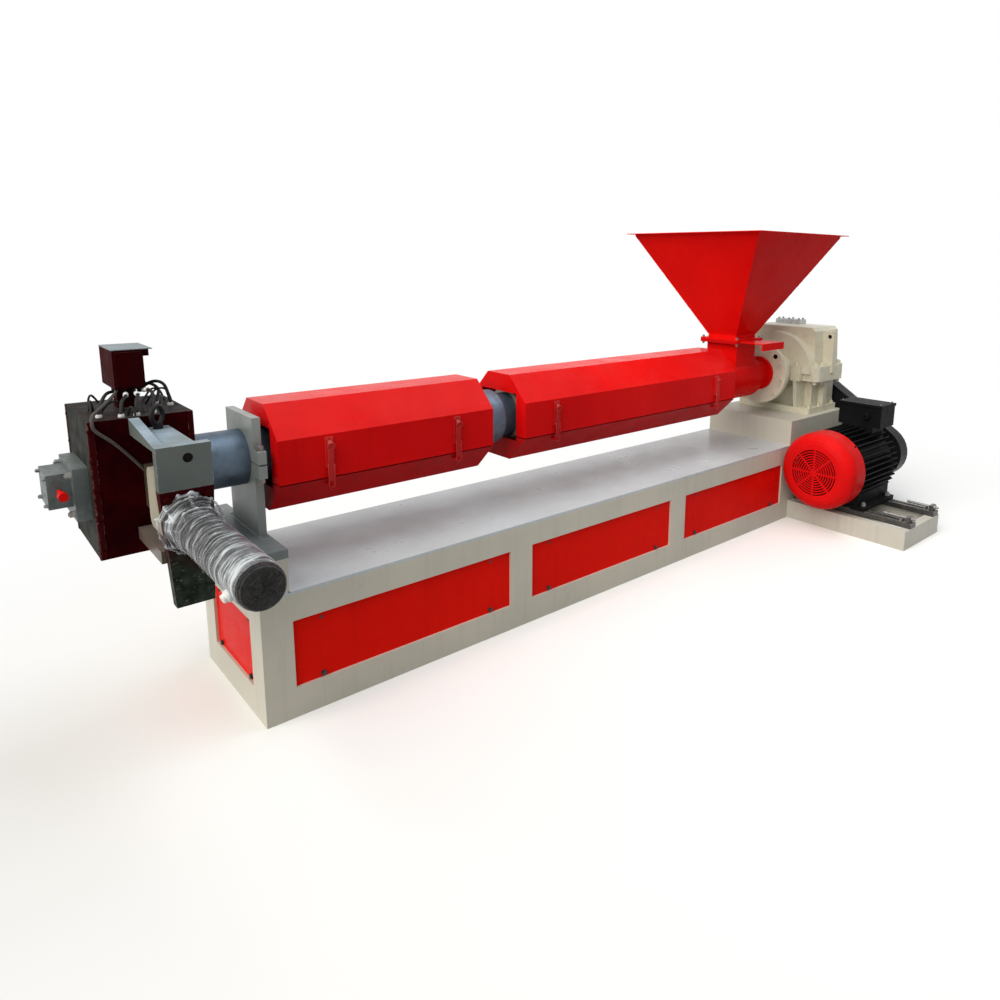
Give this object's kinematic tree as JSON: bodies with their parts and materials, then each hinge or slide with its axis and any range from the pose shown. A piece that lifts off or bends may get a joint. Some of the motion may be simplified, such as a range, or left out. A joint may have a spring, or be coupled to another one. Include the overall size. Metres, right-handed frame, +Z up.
{
  "type": "plastic pelletizing machine",
  "caption": "Single-screw plastic pelletizing extruder on a long steel bed, with hinged heater covers, a feed hopper with a slide gate, a gearbox, a belt-driven motor and a screen changer.",
  "frame": {"origin": "on the floor under the screw's centre line, in the middle of the bed's head end member", "axes": "+X along the screw from the die end to the drive end, +Y away from the operator, +Z up"},
  "size_m": [4.451, 1.476, 1.715],
  "materials": {
    "cream_paint": "semi-gloss enamel",
    "red_paint": "gloss enamel",
    "maroon_paint": "worn gloss enamel",
    "grey_paint": "satin enamel",
    "machined_steel": "turned and ground",
    "heater_steel": "heat-tinted sheet",
    "latch_zinc": "zinc plated",
    "gearbox_paint": "painted casting",
    "black_paint": "satin black",
    "lead_sleeve": "braided black sleeving"
  },
  "bodies": {
    "frame": {"bed_near_frame": "cream_paint", "bed_far_frame": "cream_paint", "bed_head_frame": "cream_paint", "bed_drive_frame": "cream_paint", "bed_top": "cream_paint", "head_beam": "cream_paint", "drive_pedestal": "cream_paint", "motor_base": "cream_paint", "low_bar": "cream_paint", "slide_housing": "cream_paint", "near_panels": "red_paint", "far_panels": "red_paint", "head_panel": "red_paint", "drive_panel": "red_paint", "feed_throat": "red_paint", "hopper": "red_paint", "fan_cowl": "red_paint", "die_handle": "red_paint", "front_tray": "maroon_paint", "rear_tray": "maroon_paint", "gate_frame": "maroon_paint", "die_box": "maroon_paint", "cylinder_plate": "maroon_paint", "terminal_box": "maroon_paint", "head_plate": "grey_paint", "barrel_saddle": "grey_paint", "barrel_cap": "grey_paint", "top_bar": "grey_paint", "lifting_eye": "grey_paint", "barrel": "machined_steel", "outlet_block": "machined_steel", "slide_rails": "machined_steel", "hydraulic_cylinder": "machined_steel", "feed_screw": "machined_steel", "screen_slide": "machined_steel", "heater_bands": "heater_steel", "inspection_cap": "latch_zinc", "gearbox_lower": "gearbox_paint", "gearbox_upper": "gearbox_paint", "output_flange": "gearbox_paint", "input_cap": "gearbox_paint", "motor_frame": "black_paint", "motor_terminal_box": "black_paint", "belt_guard": "black_paint", "heater_leads": "lead_sleeve"},
    "front_hood": {"front_hood": "red_paint", "front_latches": "latch_zinc"},
    "rear_hood": {"rear_hood": "red_paint", "rear_latches": "latch_zinc"},
    "gate": {"gate_plate": "red_paint"}
  },
  "joints": [
    {"name": "front_hood_hinge", "type": "hinge", "parent": "frame", "child": "front_hood", "pos_m": [0.55, 0.207, 0.7893], "axis": [-1, 0, 0], "range_deg": [0, 100]},
    {"name": "rear_hood_hinge", "type": "hinge", "parent": "frame", "child": "rear_hood", "pos_m": [1.95, 0.207, 0.7893], "axis": [-1, 0, 0], "range_deg": [0, 100]},
    {"name": "gate_slide", "type": "slide", "parent": "frame", "child": "gate", "axis": [0, 1, 0], "range_m": [0, 0.138]}
  ]
}
